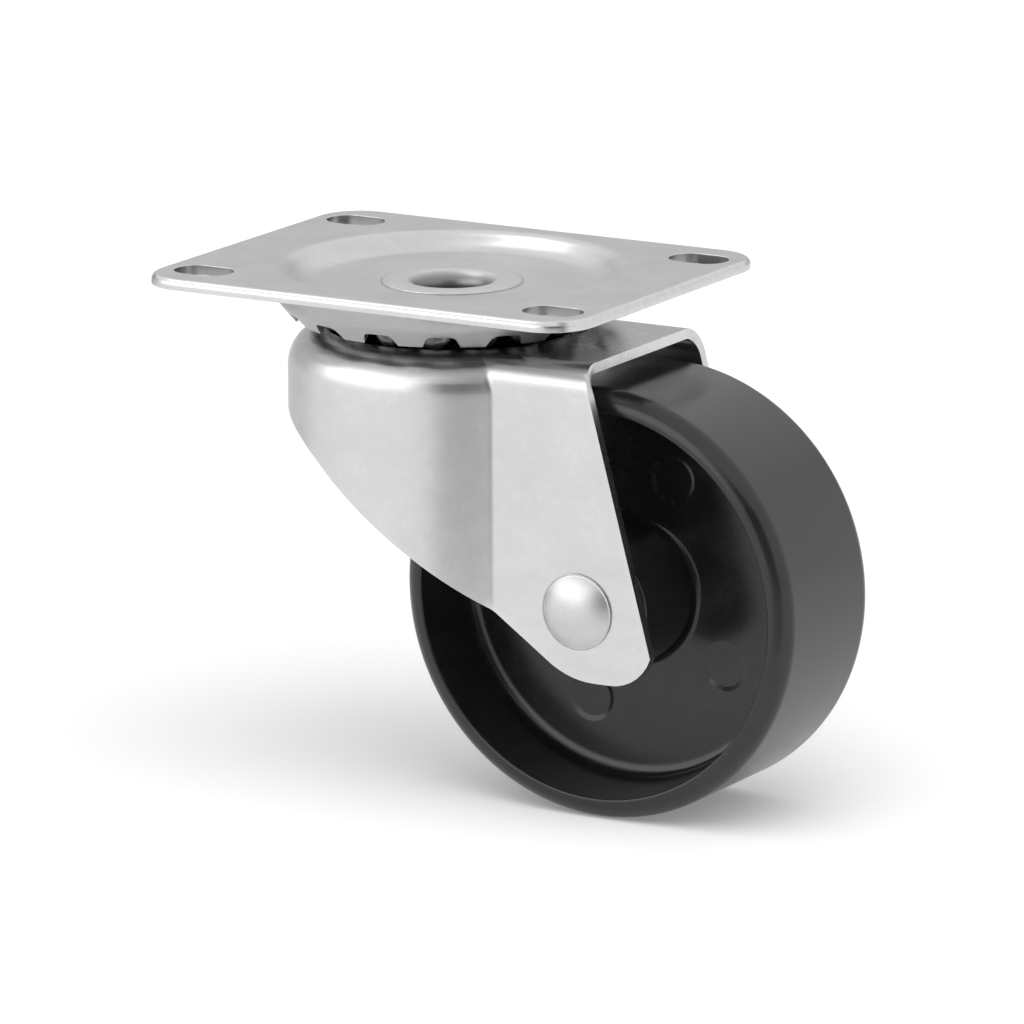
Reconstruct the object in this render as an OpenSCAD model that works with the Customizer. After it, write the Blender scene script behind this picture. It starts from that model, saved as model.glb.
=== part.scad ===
// Swivel castor with a rectangular mounting plate, a double ball race and a one-piece moulded wheel.
// Millimetres. The origin is the centre of the plate's mounting face, on the swivel axis.
// +Z points up, out of the mounting face. +X is the trailing direction. The axle lies along Y.

/* [Plate] */
// Length of the plate, along X
plate_length = 57.2; // [54:0.1:66]
// Width of the plate, along Y
plate_width = 46; // [44:0.1:54]
// Thickness of the steel sheet of the plate and the fork
sheet = 1.2; // [1:0.05:1.4]
// Radius of the plate's corners
plate_corner = 5.5; // [3:0.1:6]
// Distance between slot centres, along X
slot_spacing_x = 46; // [45:0.1:48]
// Distance between slot centres, along Y
slot_spacing_y = 33.4; // [32:0.1:37]
// Width of each slot
slot_width = 5; // [4:0.1:5.5]
// Length of each slot, end to end, along X
slot_length = 7.2; // [6:0.1:8]
// Radius of the dish at the mounting face
dish_rim_r = 20.3; // [20.1:0.1:20.6]
// Radius of the dish's flat floor
dish_floor_r = 15.6; // [15.4:0.1:16]
// Depth of the dish's floor below the mounting face
dish_depth = 1.85; // [1.7:0.05:2]
// Bend radius at the dish's rim, on the mounting face
dish_rim_bend = 2.5; // [2.2:0.1:2.8]

/* [Race cover] */
// Outer radius of the cover where it meets the plate
cover_r = 20.5; // [20.3:0.05:21]
// Thickness of the cover's sheet
cover_sheet = 1; // [0.8:0.05:1.1]
// Height of the cover's upright wall under the plate
cover_wall = 0.8; // [0.6:0.05:1]
// Outer bend radius between the upright wall and the claws
cover_curl_r = 3; // [2.6:0.1:3.4]
// Angle by which the claws lean in, from upright
claw_lean = 40; // [36:1:46]
// Number of claws round the cover
claw_count = 16; // [12:1:18]
// Height of the notches between the claws
notch_height = 1.35; // [1.1:0.05:1.6]
// Width of a notch between two claws at its top
notch_top = 3.2; // [2.6:0.1:3.6]
// Width of a notch between two claws at its bottom
notch_bottom = 4.6; // [4.2:0.1:5]

/* [Bearing] */
// Diameter of the upper balls
upper_ball_d = 4.76; // [4.5:0.01:4.8]
// Pitch radius of the upper balls
upper_pitch_r = 12.6; // [12.5:0.05:12.65]
// Number of upper balls
upper_ball_count = 16; // [12:1:16]
// Diameter of the lower balls
lower_ball_d = 3.5; // [3.2:0.01:3.55]
// Pitch radius of the lower balls
lower_pitch_r = 7.6; // [7.55:0.05:7.7]
// Number of lower balls
lower_ball_count = 13; // [10:1:13]
// Outer radius of the lower race
lower_race_r = 9.9; // [9.7:0.1:10.4]
// Thickness of the lower race
lower_race_t = 1.5; // [1.3:0.1:1.8]

/* [King pin] */
// Outer radius of the king pin's barrel
pin_r = 4.9; // [4.8:0.02:5]
// Radius of the bore through the king pin
pin_bore_r = 4; // [3.6:0.05:4.1]
// Radius of the flared top flange, which lies in a countersink in the dish's floor
pin_flange_r = 8.2; // [7.8:0.1:8.4]
// Height of the flare's crest above the dish's floor
pin_crest_h = 0.25; // [0.15:0.05:0.4]
// Depth of the countersink under the flare
pin_sink = 0.7; // [0.5:0.05:0.9]
// Radius of the bottom flange, under the lower race
pin_foot_r = 7.1; // [6.8:0.1:7.4]
// Thickness of the bottom flange
pin_foot_t = 0.95; // [0.8:0.05:1.1]

/* [Fork] */
// Depth of the crown's top face below the mounting face
crown_depth = 6.9; // [6.8:0.05:7.1]
// Outer radius of the round skirt
skirt_r = 18.9; // [18.8:0.1:19.6]
// Outer bend radius between the crown and the skirt
skirt_bend = 4.5; // [3.6:0.1:4.6]
// Outer bend radius between the crown and the legs
leg_bend = 3; // [2:0.1:3.4]
// Depth of the skirt's lower edge at the very front
skirt_front_depth = 15.3; // [15:0.1:16]
// Radius of the lower edge where it flattens towards the front
edge_blend_r = 38.8; // [36:0.1:42]
// Angle of the straight lower edge, from level
edge_angle = 37; // [36:0.5:38]
// Distance of the crown's rear edge behind the swivel axis
crown_rear = 24.8; // [24.4:0.1:25.4]
// Distance of the leg's lower edge below the axle
lobe_drop = 8.1; // [7.6:0.1:8.6]
// Distance of the leg's rear corner behind the axle
lobe_reach = 8.2; // [7.8:0.1:8.8]

/* [Wheel and axle] */
// Diameter of the wheel
wheel_d = 50; // [49:0.1:50.4]
// Width of the tread
wheel_width = 20.4; // [19:0.1:21]
// Distance of the axle behind the swivel axis
trail = 24.2; // [23.8:0.1:24.6]
// Rounding of the tread's edges
tread_edge = 2.2; // [1.5:0.1:2.2]
// Thickness of the rim's wall at its mouth
rim_t = 2.5; // [2.4:0.1:3]
// Thickness of the web between rim and hub
web_t = 2; // [1.6:0.1:3]
// Outer radius of the hub at its end face
hub_r = 8; // [7.2:0.1:8.6]
// Length of the hub, end to end
hub_length = 23.8; // [22.4:0.1:25.6]
// Diameter of the axle rivet's shank
axle_d = 6; // [5.6:0.1:6.2]
// Outer diameter of the sleeve on which the wheel turns
sleeve_d = 8; // [7.6:0.1:8.2]
// Radius of the axle rivet's heads
rivet_head_r = 4.4; // [4.2:0.1:4.8]
// Height of the axle rivet's heads
rivet_head_h = 1.5; // [1.2:0.1:1.9]

/* [Clearances] */
// Gap between each ball and the race that it rolls on but doesn't lie in
ball_running_gap = 0.05; // [0.03:0.01:0.08]
// Gap between each ball and the groove that it lies in
ball_seat_gap = 0.02; // [0.01:0.01:0.03]
// Radial play of a riveted shank in its hole
rivet_play = 0.03; // [0.02:0.01:0.05]
// Radial play of the wheel's bore on the sleeve
wheel_play = 0.05; // [0.03:0.01:0.08]
// Gap between the claws and the crown
cover_gap = 1.05; // [0.9:0.05:1.2]
// Radial gap between the king pin and the hole in the crown
crown_hole_gap = 0.6; // [0.5:0.05:0.65]
// Gap between the wheel and the crown above it
wheel_top_gap = 2; // [1.8:0.1:3]
// Gap between each end of the hub and the leg beside it
hub_side_gap = 0.4; // [0.3:0.05:0.8]

/* [Hidden] */
$fn = 96;

// Plate and dish
plate_under = -sheet;
dish_floor_z = -dish_depth;
dish_under_z = dish_floor_z - sheet;
// The dish's wall is two arcs that meet at this slope: a hollow one from the floor and a round one to the rim
dish_slope = 2 * atan(dish_depth / (dish_rim_r - dish_floor_r));
dish_floor_bend = (dish_rim_r - dish_floor_r) / sin(dish_slope) - dish_rim_bend;
dish_floor_bend_z = dish_floor_z + dish_floor_bend;
pin_hole_r = pin_r + rivet_play;

// Race cover
cover_curl_centre_r = cover_r - cover_curl_r;
cover_curl_z = plate_under - cover_wall;
cover_bottom_z = -crown_depth + cover_gap;
notch_top_z = cover_bottom_z + notch_height;
// The straight part of the claws runs from the bend's end down to their tips
claw_start = [cover_curl_centre_r, cover_curl_z] + cover_curl_r * [cos(claw_lean), -sin(claw_lean)];
claw_length = (claw_start[1] - cover_bottom_z) / cos(claw_lean);
claw_tip = claw_start - claw_length * [sin(claw_lean), cos(claw_lean)];
// Angle of the first notch from the trailing direction
cover_turn = 4.4;

// Upper ring of balls, held by the groove in the crown's top
upper_ball_r = upper_ball_d / 2;
upper_ball_z = dish_under_z - ball_running_gap - upper_ball_r;
race_fit = 1.05;
upper_groove_r = upper_ball_r * race_fit;
upper_groove_z = upper_ball_z - upper_ball_r - ball_seat_gap + upper_groove_r;

// Crown of the fork
crown_top_z = -crown_depth;
crown_under_z = crown_top_z - sheet;
crown_hole_r = pin_r + crown_hole_gap;
groove_rim = 0.2;
crown_disc_r = upper_pitch_r + upper_groove_r + groove_rim;

// Lower ring of balls, held by the groove in the lower race
lower_ball_r = lower_ball_d / 2;
lower_groove_r = lower_ball_r * race_fit;
crown_bead_depth = 0.32;
crown_bead_z = crown_under_z + crown_bead_depth - lower_groove_r;
lower_ball_z = crown_under_z + crown_bead_depth - ball_running_gap - lower_ball_r;
race_groove_z = lower_ball_z - lower_ball_r - ball_seat_gap + lower_groove_r;
race_groove_depth = 0.4;
race_top_z = race_groove_z - lower_groove_r + race_groove_depth;
race_bottom_z = race_top_z - lower_race_t;

// Axle and wheel. The legs stand clear of the hub, and the axle hangs low enough for the wheel.
wheel_r = wheel_d / 2;
axle_depth = crown_depth + sheet + wheel_top_gap + wheel_r;
axle_z = -axle_depth;
leg_inner_y = hub_length / 2 + hub_side_gap;
leg_y = leg_inner_y + sheet;
fork_width = 2 * leg_y;
rim_mouth_r = wheel_r - rim_t;
axle_r = axle_d / 2;
sleeve_r = sleeve_d / 2;
mark_count = 4;
mark_r = 2.6;
mark_pitch_r = 14.3;
mark_depth = 0.25;
mark_half_angle = 50.4;
wheel_turn = 17.9;

// Side outline of the fork: lobe round the axle, rear edge and lower edge
lobe_bottom_z = axle_z - lobe_drop;
lobe_rear_x = trail + lobe_reach;
lobe_rear_corner = 5;
lobe_front_corner = 9;
lobe_lead = 1.25;
lobe_front_x = trail + lobe_lead;
rear_lean = atan((lobe_rear_x - crown_rear) / (axle_depth - crown_depth));
// The pressed sheet before its side outline is cut reaches past the outline by this much
cut_margin = 4;

// Points along an arc from angle a0 to angle a1 in the given number of steps
function arc(cx, cy, r, a0, a1, steps) =
    [for (i = [0:steps]) let (a = a0 + (a1 - a0) * i / steps) [cx + r * cos(a), cy + r * sin(a)]];

module zinc() {
    color([0.78, 0.79, 0.80]) children();
}

module rounded_rectangle(length, width, r) {
    square([length - 2 * r, width], center = true);
    square([length, width - 2 * r], center = true);
    for (x = [-1, 1], y = [-1, 1])
        translate([x * (length / 2 - r), y * (width / 2 - r)])
            circle(r);
}

module slot(length, width) {
    square([length - width, width], center = true);
    for (x = [-1, 1])
        translate([x * (length - width) / 2, 0])
            circle(width / 2);
}

// Points of the dish's wall from the floor to the rim, the given depth into the sheet
function dish_wall(inset) = concat(
    arc(dish_floor_r, dish_floor_bend_z, dish_floor_bend + inset, 270, 270 + dish_slope, 8),
    arc(dish_rim_r, -dish_rim_bend, dish_rim_bend - inset, 90 + dish_slope, 90, 5)
);

// Half section of the hollow above the dish and of the countersink in its floor
module dish_hollow() {
    polygon(concat(
        [[0, dish_floor_z - pin_sink], [pin_hole_r, dish_floor_z - pin_sink]],
        [[pin_flange_r + rivet_play, dish_floor_z]],
        dish_wall(0),
        [[dish_rim_r, 1], [0, 1]]
    ));
}

// Half section of the metal that the dish pushes below the plate
module dish_bulge() {
    polygon(concat(
        [[0, plate_under], [0, dish_under_z]],
        dish_wall(sheet)
    ));
}

module top_plate() {
    zinc()
        difference() {
            union() {
                translate([0, 0, plate_under])
                    linear_extrude(sheet)
                        difference() {
                            rounded_rectangle(plate_length, plate_width, plate_corner);
                            for (x = [-1, 1], y = [-1, 1])
                                translate([x * slot_spacing_x / 2, y * slot_spacing_y / 2])
                                    slot(slot_length, slot_width);
                        }
                rotate_extrude()
                    dish_bulge();
            }
            rotate_extrude()
                dish_hollow();
            translate([0, 0, dish_under_z - 1])
                cylinder(h = sheet + 2, r = pin_hole_r);
        }
}

// Half section of the cover: an upright wall that stands against the plate, and claws that lean in below it
module cover_section() {
    difference() {
        polygon(concat(
            [[cover_r - cover_sheet, plate_under], [cover_r, plate_under]],
            arc(cover_curl_centre_r, cover_curl_z, cover_curl_r, 0, -claw_lean, 6),
            [claw_tip, claw_tip + cover_sheet * [-cos(claw_lean), sin(claw_lean)]],
            arc(cover_curl_centre_r, cover_curl_z, cover_curl_r - cover_sheet, -claw_lean, 0, 6)
        ));
        dish_bulge();
    }
}

module notch() {
    translate([cover_curl_centre_r - 2, 0, 0])
        rotate([90, 0, 90])
            linear_extrude(cover_curl_r + 4)
                polygon([
                    [-notch_top / 2, notch_top_z],
                    [notch_top / 2, notch_top_z],
                    [notch_bottom / 2, cover_bottom_z - 0.5],
                    [-notch_bottom / 2, cover_bottom_z - 0.5]
                ]);
}

module race_cover() {
    zinc()
        difference() {
            rotate_extrude()
                cover_section();
            for (i = [0:claw_count - 1])
                rotate([0, 0, i * 360 / claw_count + cover_turn])
                    notch();
        }
}

// Half section of the tubular rivet, flared at the top and set at the bottom
module king_pin_section() {
    crest_z = dish_floor_z + pin_crest_h;
    bottom_z = race_bottom_z - pin_foot_t;
    flare = 1.8;
    rim_drop = pin_crest_h - 0.05;
    // The flare falls from its crest to a thin rim in an arc of this radius
    flare_run = pin_flange_r - pin_bore_r - flare;
    flare_r = (flare_run * flare_run + rim_drop * rim_drop) / (2 * rim_drop);
    foot_round = 0.45;
    polygon(concat(
        [[pin_bore_r, bottom_z + 0.5], [pin_bore_r, crest_z - flare]],
        arc(pin_bore_r + flare, crest_z - flare, flare, 180, 90, 6),
        arc(pin_bore_r + flare, crest_z - flare_r, flare_r, 90, 90 - asin(flare_run / flare_r), 4),
        [[pin_flange_r, dish_floor_z], [pin_r, dish_floor_z - pin_sink], [pin_r, race_bottom_z]],
        [[pin_foot_r, race_bottom_z]],
        arc(pin_foot_r - foot_round, bottom_z + foot_round, foot_round, 0, -90, 4),
        [[pin_bore_r + 0.5, bottom_z]]
    ));
}

module king_pin() {
    zinc()
        rotate_extrude()
            king_pin_section();
}

module lower_race() {
    zinc()
        rotate_extrude()
            difference() {
                translate([pin_hole_r, race_bottom_z])
                    square([lower_race_r - pin_hole_r, lower_race_t]);
                translate([lower_pitch_r, race_groove_z])
                    circle(lower_groove_r);
            }
}

// Half section of a round-topped drum, from the crown's height down past the legs
module drum_section(r, top_z, bend) {
    depth = top_z - lobe_bottom_z + cut_margin;
    translate([0, top_z - depth])
        square([r, depth - bend]);
    translate([0, top_z - depth])
        square([r - bend, depth]);
    translate([r - bend, top_z - bend])
        circle(bend);
}

// Cross-section of the channel that becomes the crown's rear part and the two legs
module channel_section(half_width, top_z, bend) {
    depth = top_z - lobe_bottom_z + cut_margin;
    translate([-half_width, top_z - depth])
        square([2 * half_width, depth - bend]);
    translate([-half_width + bend, top_z - depth])
        square([2 * (half_width - bend), depth]);
    for (y = [-1, 1])
        translate([y * (half_width - bend), top_z - bend])
            circle(bend);
}

module pressed_body(inset, reach) {
    union() {
        rotate_extrude()
            drum_section(skirt_r - inset, crown_top_z - inset, skirt_bend - inset);
        rotate([90, 0, 90])
            linear_extrude(reach)
                channel_section(leg_y - inset, crown_top_z - inset, leg_bend - inset);
    }
}

// Side view of the fork, X to the right and Z up
module side_outline() {
    lobe_front = [lobe_front_x, lobe_bottom_z + lobe_front_corner];
    lobe_rear = [lobe_rear_x - lobe_rear_corner, lobe_bottom_z + lobe_rear_corner];
    // The straight lower edge runs up and forward from the lobe
    along = [-cos(edge_angle), sin(edge_angle)];
    below = [-sin(edge_angle), -cos(edge_angle)];
    straight_start = lobe_front + lobe_front_corner * below;
    // The arc that ends it is tangent to it and passes through the skirt's front edge
    front = [-skirt_r, -skirt_front_depth];
    w = straight_start + edge_blend_r * below - front;
    run = -w * along - sqrt(pow(w * along, 2) - w * w + pow(edge_blend_r, 2));
    centre = straight_start + run * along + edge_blend_r * below;
    front_angle = atan2(front[1] - centre[1], front[0] - centre[0]);
    polygon(concat(
        arc(lobe_front[0], lobe_front[1], lobe_front_corner, 270 - edge_angle, 270, 5),
        arc(lobe_rear[0], lobe_rear[1], lobe_rear_corner, 270, 360 - rear_lean, 8),
        [[crown_rear, crown_top_z - 0.5], [crown_rear, crown_top_z + 3]],
        [[-skirt_r - 2, crown_top_z + 3], [-skirt_r - 2, front[1]]],
        arc(centre[0], centre[1], edge_blend_r, front_angle, 90 - edge_angle, 8)
    ));
}

// Half section of the crown's middle, with the two pressed ball grooves
module crown_disc_section() {
    inner = crown_hole_r;
    difference() {
        union() {
            translate([inner, crown_under_z])
                square([crown_disc_r - inner, sheet]);
            intersection() {
                translate([upper_pitch_r, upper_groove_z])
                    circle(upper_groove_r + sheet);
                translate([inner, crown_under_z - 4])
                    square([crown_disc_r - inner, 4 + sheet]);
            }
            intersection() {
                translate([lower_pitch_r, crown_bead_z])
                    circle(lower_groove_r + sheet);
                translate([inner, crown_under_z])
                    square([crown_disc_r - inner, 4]);
            }
        }
        translate([upper_pitch_r, upper_groove_z])
            circle(upper_groove_r);
        translate([lower_pitch_r, crown_bead_z])
            circle(lower_groove_r);
    }
}

module fork() {
    zinc() {
        difference() {
            intersection() {
                difference() {
                    pressed_body(0, lobe_rear_x + cut_margin);
                    pressed_body(sheet, lobe_rear_x + 2 * cut_margin);
                }
                rotate([90, 0, 0])
                    linear_extrude(3 * skirt_r, center = true)
                        side_outline();
            }
            translate([0, 0, crown_top_z - skirt_bend])
                cylinder(h = skirt_bend + 1, r = crown_disc_r);
            translate([trail, 0, axle_z])
                rotate([90, 0, 0])
                    cylinder(h = fork_width + 2, r = axle_r + rivet_play, center = true);
        }
        rotate_extrude()
            crown_disc_section();
    }
}

// Half section of the axle rivet, along its own axis
module rivet_section() {
    dome_r = (rivet_head_r * rivet_head_r + rivet_head_h * rivet_head_h) / (2 * rivet_head_h);
    dome_angle = asin(rivet_head_r / dome_r);
    near = leg_y + rivet_head_h;
    polygon(concat(
        arc(0, near - dome_r, dome_r, 90, 90 - dome_angle, 8),
        [[axle_r, leg_y], [axle_r, -leg_y]],
        arc(0, -near + dome_r, dome_r, -90 + dome_angle, -90, 8)
    ));
}

module axle_rivet() {
    zinc()
        translate([trail, 0, axle_z])
            rotate([90, 0, 0])
                rotate_extrude()
                    rivet_section();
}

module axle_sleeve() {
    zinc()
        translate([trail, 0, axle_z])
            rotate([90, 0, 0])
                difference() {
                    cylinder(h = 2 * leg_inner_y, r = sleeve_r, center = true);
                    cylinder(h = 2 * leg_inner_y + 2, r = axle_r + rivet_play, center = true);
                }
}

// Quarter section of the wheel, from the web's middle to one face, along the wheel's own axis
function wheel_half_section() = let (
    half_w = wheel_width / 2,
    half_web = web_t / 2,
    half_hub = hub_length / 2,
    draft = 0.6,
    rim_root_r = rim_mouth_r - draft,
    rim_fillet = 1.6,
    hub_root_r = hub_r + draft / 2,
    hub_fillet = 0.9,
    lip = 0.3,
    tread_round = min(tread_edge, rim_t - lip)
) concat(
    arc(wheel_r - tread_round, half_w - tread_round, tread_round, 0, 90, 7),
    arc(rim_mouth_r + lip, half_w - lip, lip, 90, 180, 3),
    arc(rim_root_r - rim_fillet, half_web + rim_fillet, rim_fillet, 0, -90, 6),
    arc(hub_root_r + hub_fillet, half_web + hub_fillet, hub_fillet, -90, -180, 5),
    arc(hub_r - 0.4, half_hub - 0.4, 0.4, 0, 90, 3),
    [[sleeve_r + wheel_play + 0.3, half_hub], [sleeve_r + wheel_play, half_hub - 0.3]]
);

module wheel() {
    half = wheel_half_section();
    other_half = [for (i = [len(half) - 1:-1:0]) [half[i][0], -half[i][1]]];
    color([0.09, 0.09, 0.10])
        translate([trail, 0, axle_z])
            rotate([90, 0, 0])
                difference() {
                    rotate_extrude()
                        polygon(concat(half, other_half));
                    for (i = [0:mark_count - 1], turn = i < 2 ? 0 : 180, side = i % 2 == 0 ? 1 : -1)
                        rotate([0, 0, wheel_turn + turn + side * mark_half_angle])
                            translate([mark_pitch_r, 0, web_t / 2 - mark_depth])
                                cylinder(h = 1, r = mark_r);
                }
}

module upper_ball(i) {
    zinc()
        rotate([0, 0, (i - 1) * 360 / upper_ball_count])
            translate([upper_pitch_r, 0, upper_ball_z])
                sphere(upper_ball_r);
}

module lower_ball(i) {
    zinc()
        rotate([0, 0, (i - 1) * 360 / lower_ball_count])
            translate([lower_pitch_r, 0, lower_ball_z])
                sphere(lower_ball_r);
}

top_plate();
race_cover();
king_pin();
lower_race();
fork();
axle_rivet();
axle_sleeve();
wheel();
for (i = [1:upper_ball_count])
    upper_ball(i);
for (i = [1:lower_ball_count])
    lower_ball(i);
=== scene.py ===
import math
from functools import partial

import bmesh
import bpy
from mathutils import Matrix, Vector


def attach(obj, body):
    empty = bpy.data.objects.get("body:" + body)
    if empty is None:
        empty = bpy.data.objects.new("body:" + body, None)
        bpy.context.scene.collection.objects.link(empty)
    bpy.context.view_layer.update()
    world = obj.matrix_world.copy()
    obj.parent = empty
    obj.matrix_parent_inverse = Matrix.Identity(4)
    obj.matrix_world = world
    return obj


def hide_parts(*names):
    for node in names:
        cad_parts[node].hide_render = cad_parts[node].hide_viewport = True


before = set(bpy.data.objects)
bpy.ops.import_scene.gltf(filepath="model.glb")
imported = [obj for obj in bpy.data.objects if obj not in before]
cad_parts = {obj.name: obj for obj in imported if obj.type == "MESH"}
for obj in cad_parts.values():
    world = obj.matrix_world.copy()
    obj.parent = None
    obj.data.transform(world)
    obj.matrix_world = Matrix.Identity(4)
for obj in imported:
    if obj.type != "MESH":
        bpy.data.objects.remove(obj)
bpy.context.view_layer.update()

MM = 0.001

# Driving sizes, in millimetres, as on the solids
SHEET = 1.2
PLATE_LENGTH = 57.2
PLATE_WIDTH = 46.0
PLATE_CORNER = 5.5
SLOT_SPACING = (46.0, 33.4)
SLOT_WIDTH = 5.0
SLOT_LENGTH = 7.2
DISH_RIM_R = 20.3
DISH_FLOOR_R = 15.6
DISH_DEPTH = 1.85
DISH_RIM_BEND = 2.5
COVER_R = 20.5
COVER_SHEET = 1.0
COVER_WALL = 0.8
COVER_CURL_R = 3.0
COVER_GAP = 1.05
COVER_TURN = 4.4
CLAW_COUNT = 16
CLAW_LEAN = 40.0
NOTCH_HEIGHT = 1.35
NOTCH_TOP = 3.2
NOTCH_BOTTOM = 4.6
NOTCH_CORNER = 0.5
CROWN_Z = -6.9
CROWN_HOLE_R = 5.5
SKIRT_R = 18.9
SKIRT_BEND = 4.5
SKIRT_FRONT_Z = -15.3
LEG_Y = 13.5
LEG_BEND = 3.0
LEG_HOLE_R = 3.03
CREASE_FILLET = 1.5
CROWN_MARGIN = 0.2
EDGE_BLEND_R = 38.8
EDGE_ANGLE = 37.0
CROWN_REAR_X = 24.8
AXLE_X = 24.2
AXLE_Z = -35.1
LOBE_BOTTOM_Z = AXLE_Z - 8.1
LOBE_REAR_X = AXLE_X + 8.2
LOBE_REAR_CORNER = 5.0
LOBE_FRONT_CORNER = 9.0
LOBE_FRONT_X = AXLE_X + 1.25
LEG_LEAN = (LOBE_REAR_X - CROWN_REAR_X) / (CROWN_Z - AXLE_Z)
WHEEL_R = 25.0
WHEEL_WIDTH = 20.4
TREAD_EDGE = 2.2
RIM_MOUTH_R = 22.5
WEB = 2.0
HUB_R = 8.0
HUB_LENGTH = 23.8
BORE_R = 4.05
MARK_R = 2.6
MARK_PITCH_R = 14.3
MARK_DEPTH = 0.25
MARK_TURNS = (68.3, -32.5, 248.3, 147.5)
PIN_R = 4.9
PIN_BORE_R = 4.0
PIN_FLANGE_R = 8.2
PIN_SINK = 0.7
PIN_GAP = 0.03
PIN_FOOT_R = 7.1
PIN_FOOT_Z = -12.45
PIN_FOOT_SHEET = 0.95
RIVET_R = 3.0
RIVET_HEAD_R = 4.4
RIVET_HEAD_H = 1.5
UPPER_PITCH_R = 12.6
UPPER_GROOVE_R = 2.499
UPPER_GROOVE_Z = -5.381
LOWER_PITCH_R = 7.6
LOWER_GROOVE_R = 1.8375
LOWER_GROOVE_RISE = 0.32

# Small forms of the punched edges, only on the visual model
PLATE_EDGE_ROLL = 0.7
SLOT_EDGE_ROLL = 0.06
CUT_BURR = 0.08
FACE_MARGIN = 0.5
FORK_EDGE_ROUND = 0.16
COVER_EDGE_ROUND = 0.12

# Steps of the meshes
SEGMENTS = 192
WHEEL_SEGMENTS = 256
SKIRT_STEPS = 72
FILLET_STEPS = 10
LEG_STEPS = 26
WALL_ROWS = 22
CROWN_REAR_STEPS = 40
CLAW_STEPS = 16
NOTCH_STEPS = 8

# The turn between faces, in degrees, at which the edge marks start and are full: wear, and on the zinc a
# painted edge highlight on the sheet and cover and a painted shade line on the rivets
EDGE_MARK_ANGLES = (9, 24)

# The photograph's view, found from the plate, the slots and the wheel
VIEW_AZIMUTH = 30.331
VIEW_ELEVATION = 13.225
VIEW_ROLL = -0.233
VIEW_DISTANCE = 1024.142
VIEW_SIDE = -6.866
VIEW_LIFT = 28.322
FOCAL_PIXELS = 8952.628
IMAGE_PIXELS = 1024
SENSOR_MM = 36.0

# The studio, in metres and degrees
WORLD_LIGHT = 0.5
FLOOR_TONE = 0.9
FLOOR_GLOW = 0.2
FLOOR_RADIUS = 4.0
ROOM_RADIUS = 1.6
OVER_FLOOR_Z = -0.0595
ROOM_FOOT_Z = -0.06
LAMP_TARGET = Vector((0.008, 0, -0.03))

# Sheets that only reflections see: name, azimuths, near and far distance, low and high edge, tone
ZONES = (
    ("dark_floor", (19, 60), 0.10, ROOM_RADIUS, OVER_FLOOR_Z, OVER_FLOOR_Z, 0.64),
    ("dark_room", (15, 60), ROOM_RADIUS, ROOM_RADIUS, ROOM_FOOT_Z, 0.95, 0.08),
    ("left_floor", (-130, -85), 0.10, ROOM_RADIUS, OVER_FLOOR_Z, OVER_FLOOR_Z, 0.78),
    ("back_wall", (160, 275), ROOM_RADIUS, ROOM_RADIUS, ROOM_FOOT_Z, 0.62, 0.60),
)

# Lamps: name, azimuth, elevation, distance, size, power, and whether it is mirrored or gives light
LAMPS = (
    ("high_softbox", -92, 60, 0.75, (0.4, 0.3), 0.65, True),
    ("left_softbox", -36, 23, 0.75, (1.1, 0.5), 2.0, True),
    ("right_key", 60, 62, 3.0, (3.2, 3.2), 36.0, False),
    ("left_key", 10, 62, 3.0, (3.2, 3.2), 36.0, False),
)


def arc(cx, cy, r, a0, a1, steps):
    """Points on an arc, in degrees from a0 to a1."""
    points = []
    for i in range(steps + 1):
        a = math.radians(a0 + (a1 - a0) * i / steps)
        points.append((cx + r * math.cos(a), cy + r * math.sin(a)))
    return points


def link_object(name, data):
    """A new object in the scene."""
    obj = bpy.data.objects.new(name, data)
    bpy.context.scene.collection.objects.link(obj)
    return obj


def link_bmesh(name, bm):
    """Turns a bmesh into an object in the scene."""
    mesh = bpy.data.meshes.new(name)
    bm.to_mesh(mesh)
    bm.free()
    return link_object(name, mesh)


def store_edge_marks(mesh):
    """Stores how sharply the surface turns at each vertex, for the edge marks in the materials: wear, and the
    zinc's painted edge highlight and shade line.
    """
    bm = bmesh.new()
    bm.from_mesh(mesh)
    turn = [0.0] * len(bm.verts)
    for edge in bm.edges:
        angle = abs(edge.calc_face_angle(0.0))
        for vert in edge.verts:
            turn[vert.index] = max(turn[vert.index], angle)
    bm.free()
    low, high = (math.radians(a) for a in EDGE_MARK_ANGLES)
    edge_mark = [min(max((a - low) / (high - low), 0.0), 1.0) for a in turn]
    mesh.attributes.new("edge_mark", "FLOAT", "POINT").data.foreach_set("value", edge_mark)


def mark_slot_shade(mesh):
    """Stores 1 at the vertices of the slots' punched walls, which the zinc materials darken as painted shade
    inside the slots.
    """
    outer_edge, face_skin = 1.5, 0.05
    shaded_walls = []
    for vert in mesh.vertices:
        x, y, z = (abs(v) / MM for v in vert.co)
        in_plate = x < PLATE_LENGTH / 2 - outer_edge and y < PLATE_WIDTH / 2 - outer_edge
        in_sheet = face_skin < z < SHEET - face_skin
        shaded_walls.append(1.0 if in_plate and in_sheet and math.hypot(x, y) > DISH_RIM_R + 1.0 else 0.0)
    mesh.attributes.new("slot_shade", "FLOAT", "POINT").data.foreach_set("value", shaded_walls)


def add_modifier(obj, name, kind, **settings):
    """Adds a modifier with its settings."""
    modifier = obj.modifiers.new(name, kind)
    for key, value in settings.items():
        setattr(modifier, key, value)


def bake_modifiers(obj):
    """Replaces an object's mesh by its evaluated one."""
    graph = bpy.context.evaluated_depsgraph_get()
    graph.update()
    mesh = bpy.data.meshes.new_from_object(obj.evaluated_get(graph))
    obj.modifiers.clear()
    obj.data = mesh


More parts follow.
